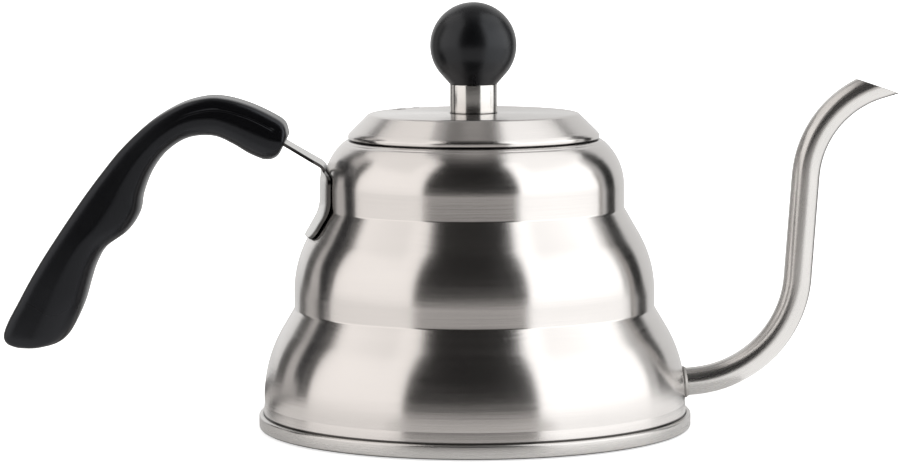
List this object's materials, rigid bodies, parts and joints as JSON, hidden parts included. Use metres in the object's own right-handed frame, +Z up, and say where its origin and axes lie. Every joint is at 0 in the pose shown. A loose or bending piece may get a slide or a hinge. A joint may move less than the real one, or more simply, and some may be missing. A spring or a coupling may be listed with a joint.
{
  "type": "gooseneck kettle",
  "caption": "Stove-top kettle with a stepped steel body, a long thin swan-neck spout for slow pouring, a lift-off lid with a ball knob and a dark bracketed grip.",
  "frame": {"origin": "on the body's axis at the underside of the base", "axes": "+X towards the spout, -X towards the grip, +Z up along the body's axis"},
  "size_m": [0.3062, 0.148, 0.1454],
  "materials": {
    "body_steel": "fine turned grain round the body",
    "base_steel": "plain satin pan and cap",
    "spout_steel": "satin tube polished along its length",
    "bracket_steel": "bright satin strip",
    "lid_steel": "fine turned grain round the lid",
    "collar_steel": "turned and polished",
    "screw_steel": "plain bright fastener steel",
    "weld_steel": "dressed weld metal",
    "grip_resin": "heat-proof moulded resin, satin",
    "knob_resin": "heat-proof moulded resin, satin",
    "insert_brass": "knurled nut, turned",
    "spreader_aluminium": "plain rolled disc"
  },
  "bodies": {
    "kettle": {"body_shell": "body_steel", "neck_ring": "body_steel", "base_pan": "base_steel", "heat_spreader": "spreader_aluminium", "base_cap": "base_steel", "spout_tube": "spout_steel", "spout_weld": "weld_steel", "handle_bracket": "bracket_steel", "bracket_welds": "weld_steel", "handle_grip": "grip_resin", "grip_screws": "screw_steel", "grip_washers": "screw_steel"},
    "lid": {"lid_cover": "lid_steel", "lid_skirt": "lid_steel", "skirt_welds": "weld_steel", "knob_collar": "collar_steel", "knob_ball": "knob_resin", "knob_insert": "insert_brass", "knob_screw": "screw_steel", "knob_washer": "screw_steel", "knob_lock_washer": "screw_steel"}
  },
  "joints": [
    {"name": "lid_lift", "type": "slide", "parent": "kettle", "child": "lid", "axis": [0, 0, 1], "range_m": [0, 0.06]}
  ]
}
